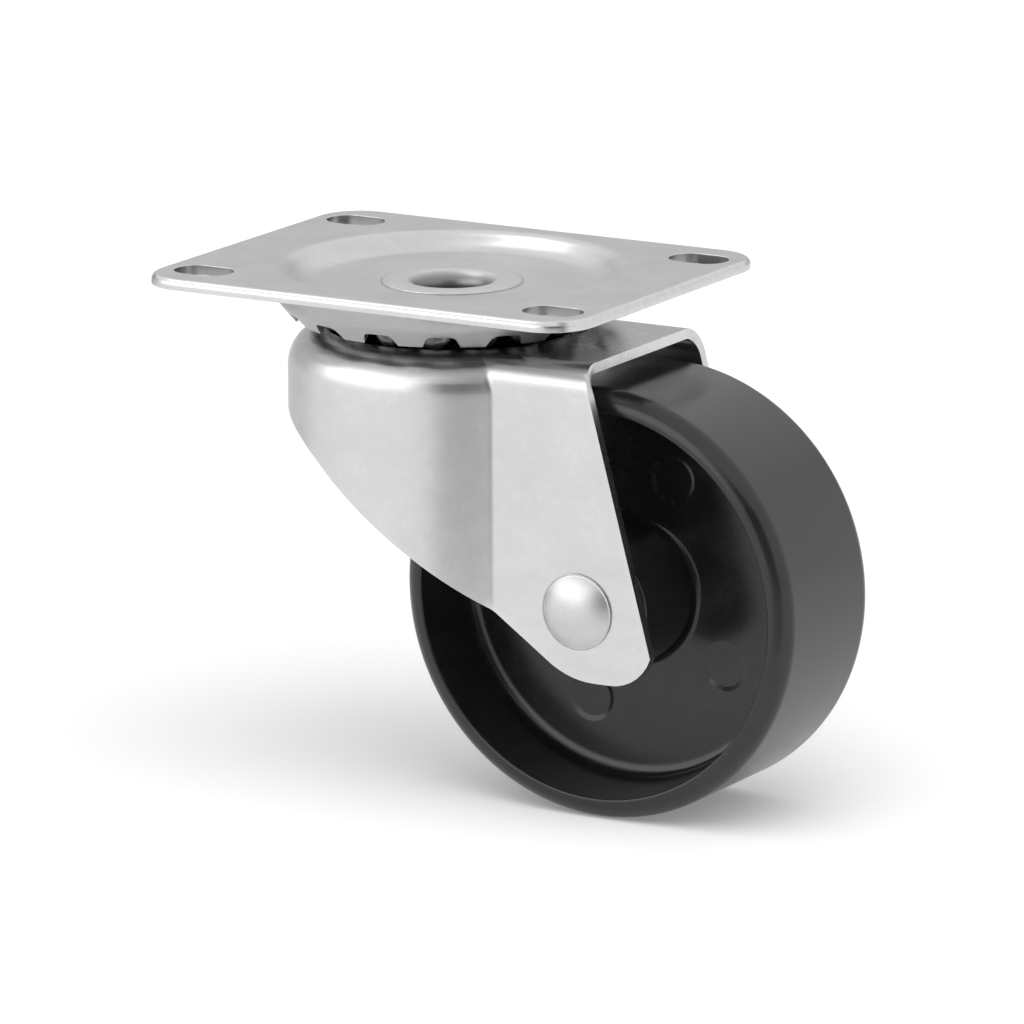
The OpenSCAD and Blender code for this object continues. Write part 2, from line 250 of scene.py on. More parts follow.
def finish_piece(obj, body, nodes, material):
    """Gives a piece its edge marks, normals, material, body and place in the frame."""
    store_edge_marks(obj.data)
    add_modifier(obj, "weighted_normals", "WEIGHTED_NORMAL", keep_sharp=True, weight=80)
    obj.data.materials.clear()
    obj.data.materials.append(material)
    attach(obj, body)
    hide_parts(*nodes)
    return obj


def link_smooth(name, bm):
    """Turns a bmesh in millimetres into a smooth object in metres."""
    bmesh.ops.scale(bm, vec=(MM, MM, MM), verts=bm.verts)
    for face in bm.faces:
        face.smooth = True
    return link_bmesh(name, bm)


def clean_up(bm):
    """Joins the seams and turns the faces outward."""
    bmesh.ops.remove_doubles(bm, verts=bm.verts, dist=1e-4)
    bmesh.ops.recalc_face_normals(bm, faces=bm.faces)


def make_piece(name, bm, body, nodes, material):
    """Turns a closed bmesh in millimetres into a finished piece that stands for its nodes."""
    clean_up(bm)
    return finish_piece(link_smooth(name, bm), body, nodes, material)


def face_outward(bm):
    """Turns an open surface away from the swivel axis."""
    outward = 0.0
    for face in bm.faces:
        centre = face.calc_center_median()
        outward += face.normal.dot(centre - Vector((0, 0, centre.z))) * face.calc_area()
    if outward < 0:
        bmesh.ops.reverse_faces(bm, faces=bm.faces)


def thicken(name, bm, thickness, edge_round, body, nodes, material, cutter=None):
    """Makes a sheet of even thickness, on the inner side of its surface, with rounded cut edges."""
    clean_up(bm)
    face_outward(bm)
    obj = link_smooth(name, bm)
    add_modifier(obj, "sheet", "SOLIDIFY", thickness=thickness * MM, offset=-1.0, use_even_offset=True,
                 use_quality_normals=True)
    if cutter:
        add_modifier(obj, "hole", "BOOLEAN", operation="DIFFERENCE", solver="EXACT", object=cutter)
    add_modifier(obj, "cut_edges", "BEVEL", width=edge_round * MM, segments=3, limit_method="ANGLE",
                 angle_limit=math.radians(55), profile=0.5)
    bake_modifiers(obj)
    for polygon in obj.data.polygons:
        polygon.use_smooth = True
    return finish_piece(obj, body, nodes, material)


def ring(bm, points):
    """New vertices at the points."""
    return [bm.verts.new(p) for p in points]


def bridge_rings(bm, rings):
    """Quads between each closed loop and the next, all of as many points."""
    for a, b in zip(rings, rings[1:]):
        for i in range(len(a)):
            j = (i + 1) % len(a)
            bm.faces.new((a[i], a[j], b[j], b[i]))


def bridge_rows(bm, rows):
    """Quads between each open row and the next, all of as many points."""
    for a, b in zip(rows, rows[1:]):
        for i in range(len(a) - 1):
            bm.faces.new((a[i], a[i + 1], b[i + 1], b[i]))


def fill_flat(bm, loops):
    """Fills the flat region between closed loops."""
    edges = []
    for loop in loops:
        for i, vert in enumerate(loop):
            pair = (vert, loop[(i + 1) % len(loop)])
            edges.append(bm.edges.get(pair) or bm.edges.new(pair))
    bmesh.ops.triangle_fill(bm, edges=edges, use_beauty=True, use_dissolve=False, normal=(0, 0, 1))


def circle_loop(cx, cy, r, z, segments):
    """Loop of a circle."""
    angles = (2 * math.pi * i / segments for i in range(segments))
    return [(cx + r * math.cos(a), cy + r * math.sin(a), z) for a in angles]


def revolve(bm, profile, segments=SEGMENTS, closed=True):
    """Revolves a profile of (radius, height) points about Z and returns its rings."""
    rings = [ring(bm, circle_loop(0.0, 0.0, r, z, segments)) for r, z in profile]
    bridge_rings(bm, rings + rings[:1] if closed else rings)
    return rings


def axle_turn(unit):
    """The turn and shift that lay a shape made about Z along the axle."""
    return Matrix.Translation((AXLE_X * unit, 0, AXLE_Z * unit)) @ Matrix.Rotation(math.radians(90), 4, "X")


def to_axle(bm, unit=1.0):
    """Turns a shape made about Z so that it lies about the axle."""
    bmesh.ops.transform(bm, matrix=axle_turn(unit), verts=bm.verts)


def rounded_rectangle(length, width, r, inset, z, steps=10):
    """Loop of a rectangle with round corners, drawn in by the inset."""
    hx, hy, corner = length / 2 - r, width / 2 - r, r - inset
    points = []
    for k, (sx, sy) in enumerate([(1, 1), (-1, 1), (-1, -1), (1, -1)]):
        for x, y in arc(sx * hx, sy * hy, corner, 90 * k, 90 * k + 90, steps):
            points.append((x, y, z))
    return points


def slot_loop(cx, cy, grow, z, steps=16):
    """Loop of a slot along X, grown outward."""
    r, run = SLOT_WIDTH / 2 + grow, (SLOT_LENGTH - SLOT_WIDTH) / 2
    points = [(cx + run + x, cy + y, z) for x, y in arc(0, 0, r, -90, 90, steps)]
    points += [(cx - run + x, cy + y, z) for x, y in arc(0, 0, r, 90, 270, steps)]
    return points


def punched_edge(bm, roll, outline):
    """A punched edge through the sheet, rolled over at the top and sharper below.

    The outline takes an inset and a height and gives a loop. Returns the loops on the two faces.
    """
    section = [(roll + FACE_MARGIN, 0.0)]
    section += [(roll - x, y - roll) for x, y in arc(0, 0, roll, 90, 0, 5)]
    section += [(CUT_BURR - x, CUT_BURR - SHEET + y) for x, y in arc(0, 0, CUT_BURR, 0, -90, 3)]
    section += [(CUT_BURR + FACE_MARGIN, -SHEET)]
    rings = [ring(bm, outline(inset, z)) for inset, z in section]
    bridge_rings(bm, rings)
    return rings[0], rings[-1]


def dish_wall(inset):
    """The dish's wall from the rim to the floor, the given depth into the sheet."""
    run = DISH_RIM_R - DISH_FLOOR_R
    slope = math.degrees(2 * math.atan(DISH_DEPTH / run))
    floor_bend = run / math.sin(math.radians(slope)) - DISH_RIM_BEND
    rim = arc(DISH_RIM_R, -DISH_RIM_BEND, DISH_RIM_BEND - inset, 90, 90 + slope, 9)
    floor = arc(DISH_FLOOR_R, floor_bend - DISH_DEPTH, floor_bend + inset, 270 + slope, 270, 12)
    return rim + floor[1:]


def build_plate(material):
    """The mounting plate: a punched rectangle with four slots and a dish sunk round the king pin."""
    bm = bmesh.new()
    face_loops = [punched_edge(bm, PLATE_EDGE_ROLL,
                               partial(rounded_rectangle, PLATE_LENGTH, PLATE_WIDTH, PLATE_CORNER))]
    for sx in (-1, 1):
        for sy in (-1, 1):
            slot = partial(slot_loop, sx * SLOT_SPACING[0] / 2, sy * SLOT_SPACING[1] / 2)
            face_loops.append(punched_edge(bm, SLOT_EDGE_ROLL, slot))
    hole_r = PIN_R + PIN_GAP
    dish = [(DISH_RIM_R + FACE_MARGIN, 0.0)] + dish_wall(0.0)
    dish += [(PIN_FLANGE_R + PIN_GAP, -DISH_DEPTH), (hole_r, -DISH_DEPTH - PIN_SINK)]
    dish += [(hole_r, -DISH_DEPTH - SHEET)]
    dish += list(reversed(dish_wall(SHEET))) + [(DISH_RIM_R + FACE_MARGIN, -SHEET)]
    rings = revolve(bm, dish, closed=False)
    face_loops.append((rings[0], rings[-1]))
    for loops in zip(*face_loops):
        fill_flat(bm, loops)
    plate = make_piece("plate_sheet", bm, "plate", ["top_plate"], material)
    mark_slot_shade(plate.data)


def build_king_pin(material):
    """The tubular rivet: a flange that flares out of the bore, and a round foot under the lower race."""
    bm = bmesh.new()
    crest_z, flare, drop = -DISH_DEPTH + 0.25, 1.8, 0.2
    run = PIN_FLANGE_R - PIN_BORE_R - flare
    fall_r = (run * run + drop * drop) / (2 * drop)
    fall_angle = math.degrees(math.asin(run / fall_r))
    bottom_z = PIN_FOOT_Z - PIN_FOOT_SHEET
    foot_round, bore_chamfer = 0.45, 0.5
    profile = [(PIN_BORE_R, bottom_z + bore_chamfer)]
    profile += arc(PIN_BORE_R + flare, crest_z - flare, flare, 180, 90, 14)
    profile += arc(PIN_BORE_R + flare, crest_z - fall_r, fall_r, 90, 90 - fall_angle, 6)[1:]
    profile += [(PIN_FLANGE_R, -DISH_DEPTH), (PIN_R, -DISH_DEPTH - PIN_SINK), (PIN_R, PIN_FOOT_Z)]
    profile += [(PIN_FOOT_R, PIN_FOOT_Z)]
    profile += arc(PIN_FOOT_R - foot_round, bottom_z + foot_round, foot_round, 0, -90, 6)
    profile += [(PIN_BORE_R + bore_chamfer, bottom_z)]
    revolve(bm, profile)
    make_piece("king_pin_rivet", bm, "plate", ["king_pin"], material)


def half_notch(fall):
    """Half of a notch's width at a depth under its top, with round corners and walls that spread."""
    spread_over = NOTCH_HEIGHT + 0.5
    half = NOTCH_TOP / 2 + fall * (NOTCH_BOTTOM - NOTCH_TOP) / 2 / spread_over
    if fall < NOTCH_CORNER:
        half -= NOTCH_CORNER - math.sqrt(max(NOTCH_CORNER ** 2 - (NOTCH_CORNER - fall) ** 2, 0))
    return half


def cover_rows():
    """The cover's section as (radius, height) points, and the height of the notches' tops."""
    bottom_z = CROWN_Z + COVER_GAP
    notch_z = bottom_z + NOTCH_HEIGHT
    curl_z = -SHEET - COVER_WALL
    section = [(COVER_R, -SHEET)]
    section += arc(COVER_R - COVER_CURL_R, curl_z, COVER_CURL_R, 0, -CLAW_LEAN, 16)
    start_r, start_z = section[-1]
    heights = [notch_z - fall for fall in (0.0, 0.05, 0.15, 0.3, 0.5)] + [bottom_z + 0.4, bottom_z]
    claw = [(start_r - (start_z - z) * math.tan(math.radians(CLAW_LEAN)), z) for z in heights]
    return section + claw, notch_z


def polar_row(bm, r, z, start, sweep, steps):
    """New vertices along part of a circle about the swivel axis."""
    angles = [start + sweep * i / steps for i in range(steps + 1)]
    return ring(bm, [(r * math.cos(a), r * math.sin(a), z) for a in angles])


def build_cover(material):
    """The cover's outer surface, made in sectors with a notch in the middle of each, then thickened."""
    bm = bmesh.new()
    rows, notch_z = cover_rows()
    pitch = 2 * math.pi / CLAW_COUNT
    for k in range(CLAW_COUNT):
        centre = k * pitch + math.radians(COVER_TURN)
        claw, over_notch = [], []
        for r, z in rows:
            half = half_notch(max(notch_z - z, 0.0)) / r
            claw.append(polar_row(bm, r, z, centre + half, pitch - 2 * half, CLAW_STEPS))
            if z >= notch_z - 1e-6:
                over_notch.append(polar_row(bm, r, z, centre - half, 2 * half, NOTCH_STEPS))
        bridge_rows(bm, claw)
        bridge_rows(bm, over_notch)
    thicken("cover_shell", bm, COVER_SHEET, COVER_EDGE_ROUND, "plate", ["race_cover"], material)


def lower_edge():
    """The side outline's lower edge, from the skirt's front to the rear lobe, as (x, z) points."""
    a = math.radians(EDGE_ANGLE)
    lobe_front = Vector((LOBE_FRONT_X, LOBE_BOTTOM_Z + LOBE_FRONT_CORNER))
    along = Vector((-math.cos(a), math.sin(a)))
    below = Vector((-math.sin(a), -math.cos(a)))
    start = lobe_front + LOBE_FRONT_CORNER * below
    front = Vector((-SKIRT_R, SKIRT_FRONT_Z))
    w = start + EDGE_BLEND_R * below - front
    run = -w.dot(along) - math.sqrt(w.dot(along) ** 2 - w.dot(w) + EDGE_BLEND_R ** 2)
    centre = start + run * along + EDGE_BLEND_R * below
    front_angle = math.degrees(math.atan2(front.y - centre.y, front.x - centre.x))
    points = arc(centre.x, centre.y, EDGE_BLEND_R, front_angle, 90 - EDGE_ANGLE, 24)
    points += arc(lobe_front.x, lobe_front.y, LOBE_FRONT_CORNER, 270 - EDGE_ANGLE, 270, 14)
    points += arc(LOBE_REAR_X - LOBE_REAR_CORNER, LOBE_BOTTOM_Z + LOBE_REAR_CORNER, LOBE_REAR_CORNER,
                  270, 360 - math.degrees(math.atan(LEG_LEAN)), 16)
    return points


def along_path(path, shares):
    """Points at the given shares of a path's length."""
    lengths = [0.0]
    for a, b in zip(path, path[1:]):
        lengths.append(lengths[-1] + math.dist(a, b))
    points = []
    for share in shares:
        target = share * lengths[-1]
        i = 1
        while i < len(lengths) - 1 and lengths[i] < target:
            i += 1
        step = lengths[i] - lengths[i - 1]
        t = (target - lengths[i - 1]) / step if step else 0.0
        points.append(tuple(p + (q - p) * t for p, q in zip(path[i - 1], path[i])))
    return points


def edge_z(path, x):
    """Height of the lower edge at x."""
    for (x0, z0), (x1, z1) in zip(path, path[1:]):
        if x0 <= x <= x1:
            return z0 + (z1 - z0) * (x - x0) / (x1 - x0)
    return path[0][1] if x < path[0][0] else path[-1][1]


def rear_x(z):
    """The legs' leaning rear edge at a height."""
    return CROWN_REAR_X + (CROWN_Z - z) * LEG_LEAN


def fork_plan(depth):
    """Skirt radius, half width of the channel and x of the crease fillet's centre, at a depth."""
    skirt_rise = max(SKIRT_BEND - depth, 0.0)
    leg_rise = max(LEG_BEND - depth, 0.0)
    r = SKIRT_R - SKIRT_BEND + math.sqrt(SKIRT_BEND ** 2 - skirt_rise ** 2)
    w = LEG_Y - LEG_BEND + math.sqrt(LEG_BEND ** 2 - leg_rise ** 2)
    fillet_x = math.sqrt((r + CREASE_FILLET) ** 2 - (w + CREASE_FILLET) ** 2)
    return r, w, fillet_x


def fork_section(depth):
    """Near half of the plan outline at a depth: skirt from the front, then the crease fillet, as (x, y)."""
    r, w, fillet_x = fork_plan(depth)
    crease = math.degrees(math.atan2(w + CREASE_FILLET, fillet_x))
    skirt = arc(0, 0, r, -180, -crease, SKIRT_STEPS)
    fillet = arc(fillet_x, -(w + CREASE_FILLET), CREASE_FILLET, 180 - crease, 90, FILLET_STEPS)
    return skirt + fillet[1:]


def bend_start():
    """Depth on the skirt's bend at which the crown's middle, with its ball groove, ends."""
    return SKIRT_BEND - math.sqrt(SKIRT_BEND ** 2 - CROWN_MARGIN ** 2)


def crown_profile():
    """The crown's top from the hole to the skirt's bend, with the bead and the ball groove."""
    bead_r = LOWER_GROOVE_R + SHEET
    bead_z = CROWN_Z - SHEET + LOWER_GROOVE_RISE - LOWER_GROOVE_R
    bead_half = math.degrees(math.acos((CROWN_Z - bead_z) / bead_r))
    groove_half = math.degrees(math.acos((UPPER_GROOVE_Z - CROWN_Z) / UPPER_GROOVE_R))
    profile = [(CROWN_HOLE_R, CROWN_Z)]
    profile += arc(LOWER_PITCH_R, bead_z, bead_r, 90 + bead_half, 90 - bead_half, 8)
    profile += arc(UPPER_PITCH_R, UPPER_GROOVE_Z, UPPER_GROOVE_R, 270 - groove_half, 270 + groove_half, 14)
    profile += [(fork_plan(bend_start())[0], CROWN_Z - bend_start())]
    return profile


def bend_rows(leg_shares):
    """Rows of the near side over the bends: skirt, crease and leg, as (x, y, z) points."""
    depths = {round(SKIRT_BEND * (1 - math.cos(math.radians(b))), 4) for b in range(0, 91, 9)}
    depths |= {round(LEG_BEND * (1 - math.cos(math.radians(b))), 4) for b in range(0, 91, 15)}
    rows = []
    for depth in [bend_start()] + sorted(depths)[1:]:
        z = CROWN_Z - depth
        row = [(x, y, z) for x, y in fork_section(depth)]
        x0, y0, _ = row[-1]
        rows.append(row + [(x0 + (rear_x(z) - x0) * share, y0, z) for share in leg_shares])
    return rows


def patch_point(s, v, sides, ends, corners):
    """Point of a patch between four curves: s across it, v down it."""
    (left, right), (top, bottom) = sides, ends
    a, b, c, d = corners
    point = []
    for k in range(2):
        across = (1 - s) * left[k] + s * right[k]
        down = (1 - v) * top[k] + v * bottom[k]
        shared = (1 - s) * (1 - v) * a[k] + s * (1 - v) * b[k] + (1 - s) * v * c[k] + s * v * d[k]
        point.append(across + down - shared)
    return point


def wall_rows(leg_shares):
    """Rows of the near side below the bends: columns that end on the lower edge, and the leg's patch."""
    path = lower_edge()
    wall = fork_section(SKIRT_BEND)
    leg_x, top_z = wall[-1][0], CROWN_Z - SKIRT_BEND
    cut = (leg_x, edge_z(path, leg_x))
    # The leg's part of the lower edge: what lies behind the crease, or far below it
    leg_path = [cut] + [p for p in path if p[0] > leg_x + 0.05 or p[1] < cut[1] - 5]
    leg_bottom = along_path(leg_path, leg_shares)
    top_left, top_right, corner = (leg_x, top_z), (rear_x(top_z), top_z), leg_bottom[-1]
    rows = []
    for j in range(1, WALL_ROWS + 1):
        v = j / WALL_ROWS
        row = [(x, y, top_z + (edge_z(path, x) - top_z) * v) for x, y in wall]
        right_z = top_z + (corner[1] - top_z) * v
        sides = (leg_x, top_z + (cut[1] - top_z) * v), (rear_x(right_z), right_z)
        for s, bottom in zip(leg_shares, leg_bottom):
            top = (leg_x + (top_right[0] - leg_x) * s, top_z)
            x, z = patch_point(s, v, sides, (top, bottom), (top_left, top_right, cut, corner))
            row.append((x, -LEG_Y, z))
        rows.append(row)
    return rows


def add_crown(bm, edge_row):
    """The crown's top: a disc of revolution, then the flat part behind it."""
    near_angles = [math.atan2(y, x) for x, y, _ in edge_row[:SKIRT_STEPS + 1]]
    behind = [near_angles[-1] * (1 - 2 * i / CROWN_REAR_STEPS) for i in range(1, CROWN_REAR_STEPS)]
    angles = near_angles + behind + [-a for a in reversed(near_angles)][:-1]
    loops = [ring(bm, [(r * math.cos(a), r * math.sin(a), z) for a in angles]) for r, z in crown_profile()]
    bridge_rings(bm, loops)
    disc_rear = loops[-1][SKIRT_STEPS:SKIRT_STEPS + CROWN_REAR_STEPS + 1]
    near = ring(bm, edge_row[SKIRT_STEPS + 1:])
    far = ring(bm, [(x, -y, z) for x, y, z in edge_row[SKIRT_STEPS + 1:]])
    rear_y, rear_z, rear_steps = fork_plan(bend_start())[1], CROWN_Z - bend_start(), 20
    rear = ring(bm, [(CROWN_REAR_X, -rear_y + 2 * rear_y * i / rear_steps, rear_z)
                     for i in range(1, rear_steps)])
    fill_flat(bm, [near + rear + list(reversed(far)) + list(reversed(disc_rear))])


def axle_hole_cutter():
    """A bar along the axle that cuts the holes in both legs."""
    bm = bmesh.new()
    bmesh.ops.create_cone(bm, cap_ends=True, segments=64, radius1=LEG_HOLE_R * MM, radius2=LEG_HOLE_R * MM,
                          depth=(2 * LEG_Y + 4) * MM)
    to_axle(bm, MM)
    return link_bmesh("bore", bm)


def build_fork(material):
    """The fork's outer surface: both sides and the crown, thickened inward and cut for the axle."""
    # The leg's columns stand closer together near the crease
    leg_shares = [(i / LEG_STEPS) ** 1.15 for i in range(1, LEG_STEPS + 1)]
    rows = bend_rows(leg_shares) + wall_rows(leg_shares)
    bm = bmesh.new()
    for side in (1, -1):
        bridge_rows(bm, [ring(bm, [(x, side * y, z) for x, y, z in row]) for row in rows])
    add_crown(bm, rows[0])
    cutter = axle_hole_cutter()
    thicken("fork_sheet", bm, SHEET, FORK_EDGE_ROUND, "fork", ["fork"], material, cutter)
    bpy.data.objects.remove(cutter)


def build_rivet(material):
    """The axle rivet: a shank with a low domed head at each end."""
    bm = bmesh.new()
    dome_r = (RIVET_HEAD_R ** 2 + RIVET_HEAD_H ** 2) / (2 * RIVET_HEAD_H)
    half = math.degrees(math.asin(RIVET_HEAD_R / dome_r))
    edge, tip_r = 0.22, 0.02
    profile = arc(0, LEG_Y + RIVET_HEAD_H - dome_r, dome_r, 90, 90 - half * 0.97, 20)
    profile += [(RIVET_HEAD_R, LEG_Y + edge), (RIVET_HEAD_R - 0.02, LEG_Y + edge * 0.4),
                (RIVET_HEAD_R - 0.12, LEG_Y), (RIVET_R, LEG_Y)]
    profile[0] = (tip_r, profile[0][1])
    profile += [(r, -h) for r, h in reversed(profile)]
    rings = revolve(bm, profile, segments=96, closed=False)
    bm.faces.new(rings[0])
    bm.faces.new(list(reversed(rings[-1])))
    to_axle(bm)
    make_piece("axle_rivet_dome", bm, "fork", ["axle_rivet"], material)


def wheel_side(side):
    """Section of one side of the wheel, without the web's flat: from tread to web, and from web to bore."""
    half_w, half_web, half_hub = WHEEL_WIDTH / 2, WEB / 2, HUB_LENGTH / 2
    root_r, rim_fillet, lip = RIM_MOUTH_R - 0.6, 1.6, 0.3
    hub_foot_r, hub_fillet, hub_round, chamfer = HUB_R + 0.3, 0.9, 0.4, 0.3
    rim = arc(WHEEL_R - TREAD_EDGE, half_w - TREAD_EDGE, TREAD_EDGE, 0, 90, 16)
    rim += arc(RIM_MOUTH_R + lip, half_w - lip, lip, 90, 180, 6)
    rim += arc(root_r - rim_fillet, half_web + rim_fillet, rim_fillet, 0, -90, 12)
    hub = arc(hub_foot_r + hub_fillet, half_web + hub_fillet, hub_fillet, -90, -180, 9)
    hub += arc(HUB_R - hub_round, half_hub - hub_round, hub_round, 0, 90, 6)
    hub += [(BORE_R + chamfer, half_hub), (BORE_R, half_hub - chamfer)]
    return [(r, side * h) for r, h in rim], [(r, side * h) for r, h in hub]


def add_mark(bm, turn, web_z):
    """A shallow round ejector mark with soft walls; returns its outer loop."""
    cx = MARK_PITCH_R * math.cos(math.radians(turn))
    cy = MARK_PITCH_R * math.sin(math.radians(turn))
    # How far outside the mark's radius, and how deep, each ring of the wall stands
    wall = ((0.45, 0.0), (0.35, 0.0), (0.22, 0.02), (-0.22, MARK_DEPTH - 0.02), (-0.35, MARK_DEPTH),
            (-0.45, MARK_DEPTH))
    rings = [ring(bm, circle_loop(cx, cy, MARK_R + grow, web_z - depth, 48)) for grow, depth in wall]
    bridge_rings(bm, rings)
    bm.faces.new(rings[-1])
    return rings[0]


def build_wheel(material):
    """The moulded wheel: two sides, joined across the tread and the bore, with marks on the near web."""
    bm = bmesh.new()
    ends = {}
    for side in (1, -1):
        rim, hub = wheel_side(side)
        rim_rings = revolve(bm, rim, WHEEL_SEGMENTS, closed=False)
        hub_rings = revolve(bm, hub, WHEEL_SEGMENTS, closed=False)
        ends[side] = (rim_rings[0], hub_rings[-1])
        loops = [rim_rings[-1], hub_rings[0]]
        if side > 0:
            loops += [add_mark(bm, turn, WEB / 2) for turn in MARK_TURNS]
        fill_flat(bm, loops)
    bridge_rings(bm, [ends[1][0], ends[-1][0]])
    bridge_rings(bm, [ends[1][1], ends[-1][1]])
    to_axle(bm)
    make_piece("wheel_moulding", bm, "wheel", ["wheel"], material)


class Shader:
    """A material's node tree, with short calls for its nodes and links."""

    def __init__(self, name):
        self.material = bpy.data.materials.new(name)
        self.material.use_nodes = True
        self.tree = self.material.node_tree
        self.principled = self.tree.nodes["Principled BSDF"]
        self.place = self.node("ShaderNodeTexCoord").outputs["Object"]

    def node(self, kind, **settings):
        node = self.tree.nodes.new(kind)
        for key, value in settings.items():
            setattr(node, key, value)
        return node

    def put(self, target, value):
        """Links a socket, or sets a constant on the target's own socket."""
        if isinstance(value, bpy.types.NodeSocket):
            self.tree.links.new(value, target)
        else:
            target.default_value = value

    def surface(self, **values):
        """Sets the shader's inputs by name, with _ for a space."""
        for name, value in values.items():
            self.put(self.principled.inputs[name.replace("_", " ")], value)

    def stretched(self, scale):
        mapping = self.node("ShaderNodeMapping")
        self.put(mapping.inputs["Vector"], self.place)
        mapping.inputs["Scale"].default_value = scale
        return mapping.outputs["Vector"]

    def radius(self):
        """Distance from the swivel axis."""
        length = self.node("ShaderNodeVectorMath", operation="LENGTH")
        self.put(length.inputs[0], self.stretched((1.0, 1.0, 0.0)))
        return length.outputs["Value"]

    def noise(self, scale, detail=4.0, rough=0.55, vector=None, distortion=0.0):
        node = self.node("ShaderNodeTexNoise")
        self.put(node.inputs["Vector"], vector or self.place)
        node.inputs["Scale"].default_value = scale
        node.inputs["Detail"].default_value = detail
        node.inputs["Roughness"].default_value = rough
        node.inputs["Distortion"].default_value = distortion
        return node.outputs["Fac"]

    def cells(self, scale):
        """Distance to the middle of each cell."""
        node = self.node("ShaderNodeTexVoronoi")
        self.put(node.inputs["Vector"], self.place)
        node.inputs["Scale"].default_value = scale
        return node.outputs["Distance"]

    def spread(self, value, low, high, to_low=0.0, to_high=1.0):
        node = self.node("ShaderNodeMapRange")
        self.put(node.inputs["Value"], value)
        node.inputs["From Min"].default_value = low
        node.inputs["From Max"].default_value = high
        node.inputs["To Min"].default_value = to_low
        node.inputs["To Max"].default_value = to_high
        return node.outputs["Result"]

    def math(self, operation, a, b):
        node = self.node("ShaderNodeMath", operation=operation)
        self.put(node.inputs[0], a)
        self.put(node.inputs[1], b)
        return node.outputs[0]

    def mix(self, factor, a, b):
        node = self.node("ShaderNodeMix", data_type="RGBA")
        self.put(node.inputs["Factor"], factor)
        self.put(node.inputs["A"], a)
        self.put(node.inputs["B"], b)
        return node.outputs["Result"]

    def attribute(self, name):
        return self.node("ShaderNodeAttribute", attribute_name=name).outputs["Fac"]

    def bump(self, height, strength, distance, normal=None):
        node = self.node("ShaderNodeBump")
        node.inputs["Strength"].default_value = strength
        node.inputs["Distance"].default_value = distance
        self.put(node.inputs["Height"], height)
        if normal is not None:
            self.put(node.inputs["Normal"], normal)
        return node.outputs["Normal"]


def grey(value):
    """A very slightly cool grey."""
    return (value, value * 1.004, value * 1.012, 1.0)


def zinc_colour(s, tone, cloud, mottle, rolled):
    """Cloudy, mottled and streaked plating with a few dull specks."""
    colour = s.mix(cloud, grey(tone * 0.95), grey(tone * 1.03))
    colour = s.mix(s.math("MULTIPLY", mottle, 0.6), colour, grey(tone * 0.86))
    specks = s.spread(s.cells(1600.0), 0.02, 0.09, 1.0, 0.0)
    speck_zone = s.spread(s.noise(260.0, 2.0), 0.5, 0.66)
    specks = s.math("MULTIPLY", s.math("MULTIPLY", specks, speck_zone), 0.35)
    colour = s.mix(specks, colour, grey(tone * 0.62))
    return s.mix(s.spread(rolled, 0.35, 0.65, 0.0, 0.5), colour, grey(tone * 0.88))


def zinc_material(name, tone, rough, grain_strength, painted_edge_tone, bore=False):
    """Bright zinc plating: mottled tone, fine grain, cloudy roughness and smoother worn edges, with painted
    light and shade: the edges take painted_edge_tone as a painted highlight (sheet, cover) or a painted shade
    line (rivets), and the slot walls and the bore get painted shade.
    """
    s = Shader(name)
    cloud = s.spread(s.noise(140.0, 5.0, 0.6), 0.3, 0.7)
    mottle = s.spread(s.noise(900.0, 6.0, 0.7, distortion=0.4), 0.3, 0.7)
    rolled = s.noise(420.0, 2.0, 0.5, s.stretched((0.25, 1.6, 1.0)))
    edge_patches = s.math("MULTIPLY", s.attribute("edge_mark"), s.spread(s.noise(700.0, 3.0), 0.3, 0.62))
    colour = zinc_colour(s, tone, cloud, mottle, rolled)
    # Painted light and shade on the edges: lighter than the tone it is a painted highlight (sheet, cover),
    # darker it is a painted shade line (rivets), laid in patches like wear
    colour = s.mix(s.math("MULTIPLY", edge_patches, 0.85), colour, grey(painted_edge_tone))
    # Painted shade inside the slots: their walls are darkened to half the tone
    colour = s.mix(s.attribute("slot_shade"), colour, grey(tone * 0.5))
    # Painted shade in the king pin's bore: darker towards the bore's radius
    if bore:
        near, far = (PIN_BORE_R + 0.3) * MM, (PIN_BORE_R + 1.2) * MM
        colour = s.mix(s.spread(s.radius(), near, far, 1.0, 0.0), colour, grey(tone * 0.4))
    patches = s.math("ADD", s.math("MULTIPLY", cloud, 0.6), s.math("MULTIPLY", mottle, 0.4))
    roughness = s.spread(patches, 0.0, 1.0, rough - 0.05, rough + 0.07)
    roughness = s.math("SUBTRACT", roughness, s.math("MULTIPLY", edge_patches, 0.08))
    normal = s.bump(s.noise(2600.0, 3.0, 0.5), grain_strength, 0.00004)
    normal = s.bump(rolled, 0.06, 0.00005, normal)
    normal = s.bump(s.noise(60.0, 2.0, 0.5), 0.15, 0.0001, normal)
    s.surface(Base_Color=colour, Roughness=roughness, Metallic=1.0, Normal=normal)
    return s.material


def steel_material(name):
    """Polished bearing steel, coloured far darker than its own tone as painted shade inside the bearing, with
    mottled tone and roughness.
    """
    s = Shader(name)
    steel_mottle = s.spread(s.noise(500.0, 5.0, 0.6), 0.35, 0.7)
    # Painted shade: 0.20 to 0.07, so the balls seen through the cover's notches read as dark as the shade
    # there
    colour = s.mix(steel_mottle, (0.20, 0.20, 0.205, 1), (0.07, 0.065, 0.055, 1))
    normal = s.bump(s.noise(2500.0, 4.0), 0.08, 0.00003)
    s.surface(Base_Color=colour, Roughness=s.spread(steel_mottle, 0.0, 1.0, 0.12, 0.3), Metallic=1.0, Normal=normal)
    return s.material


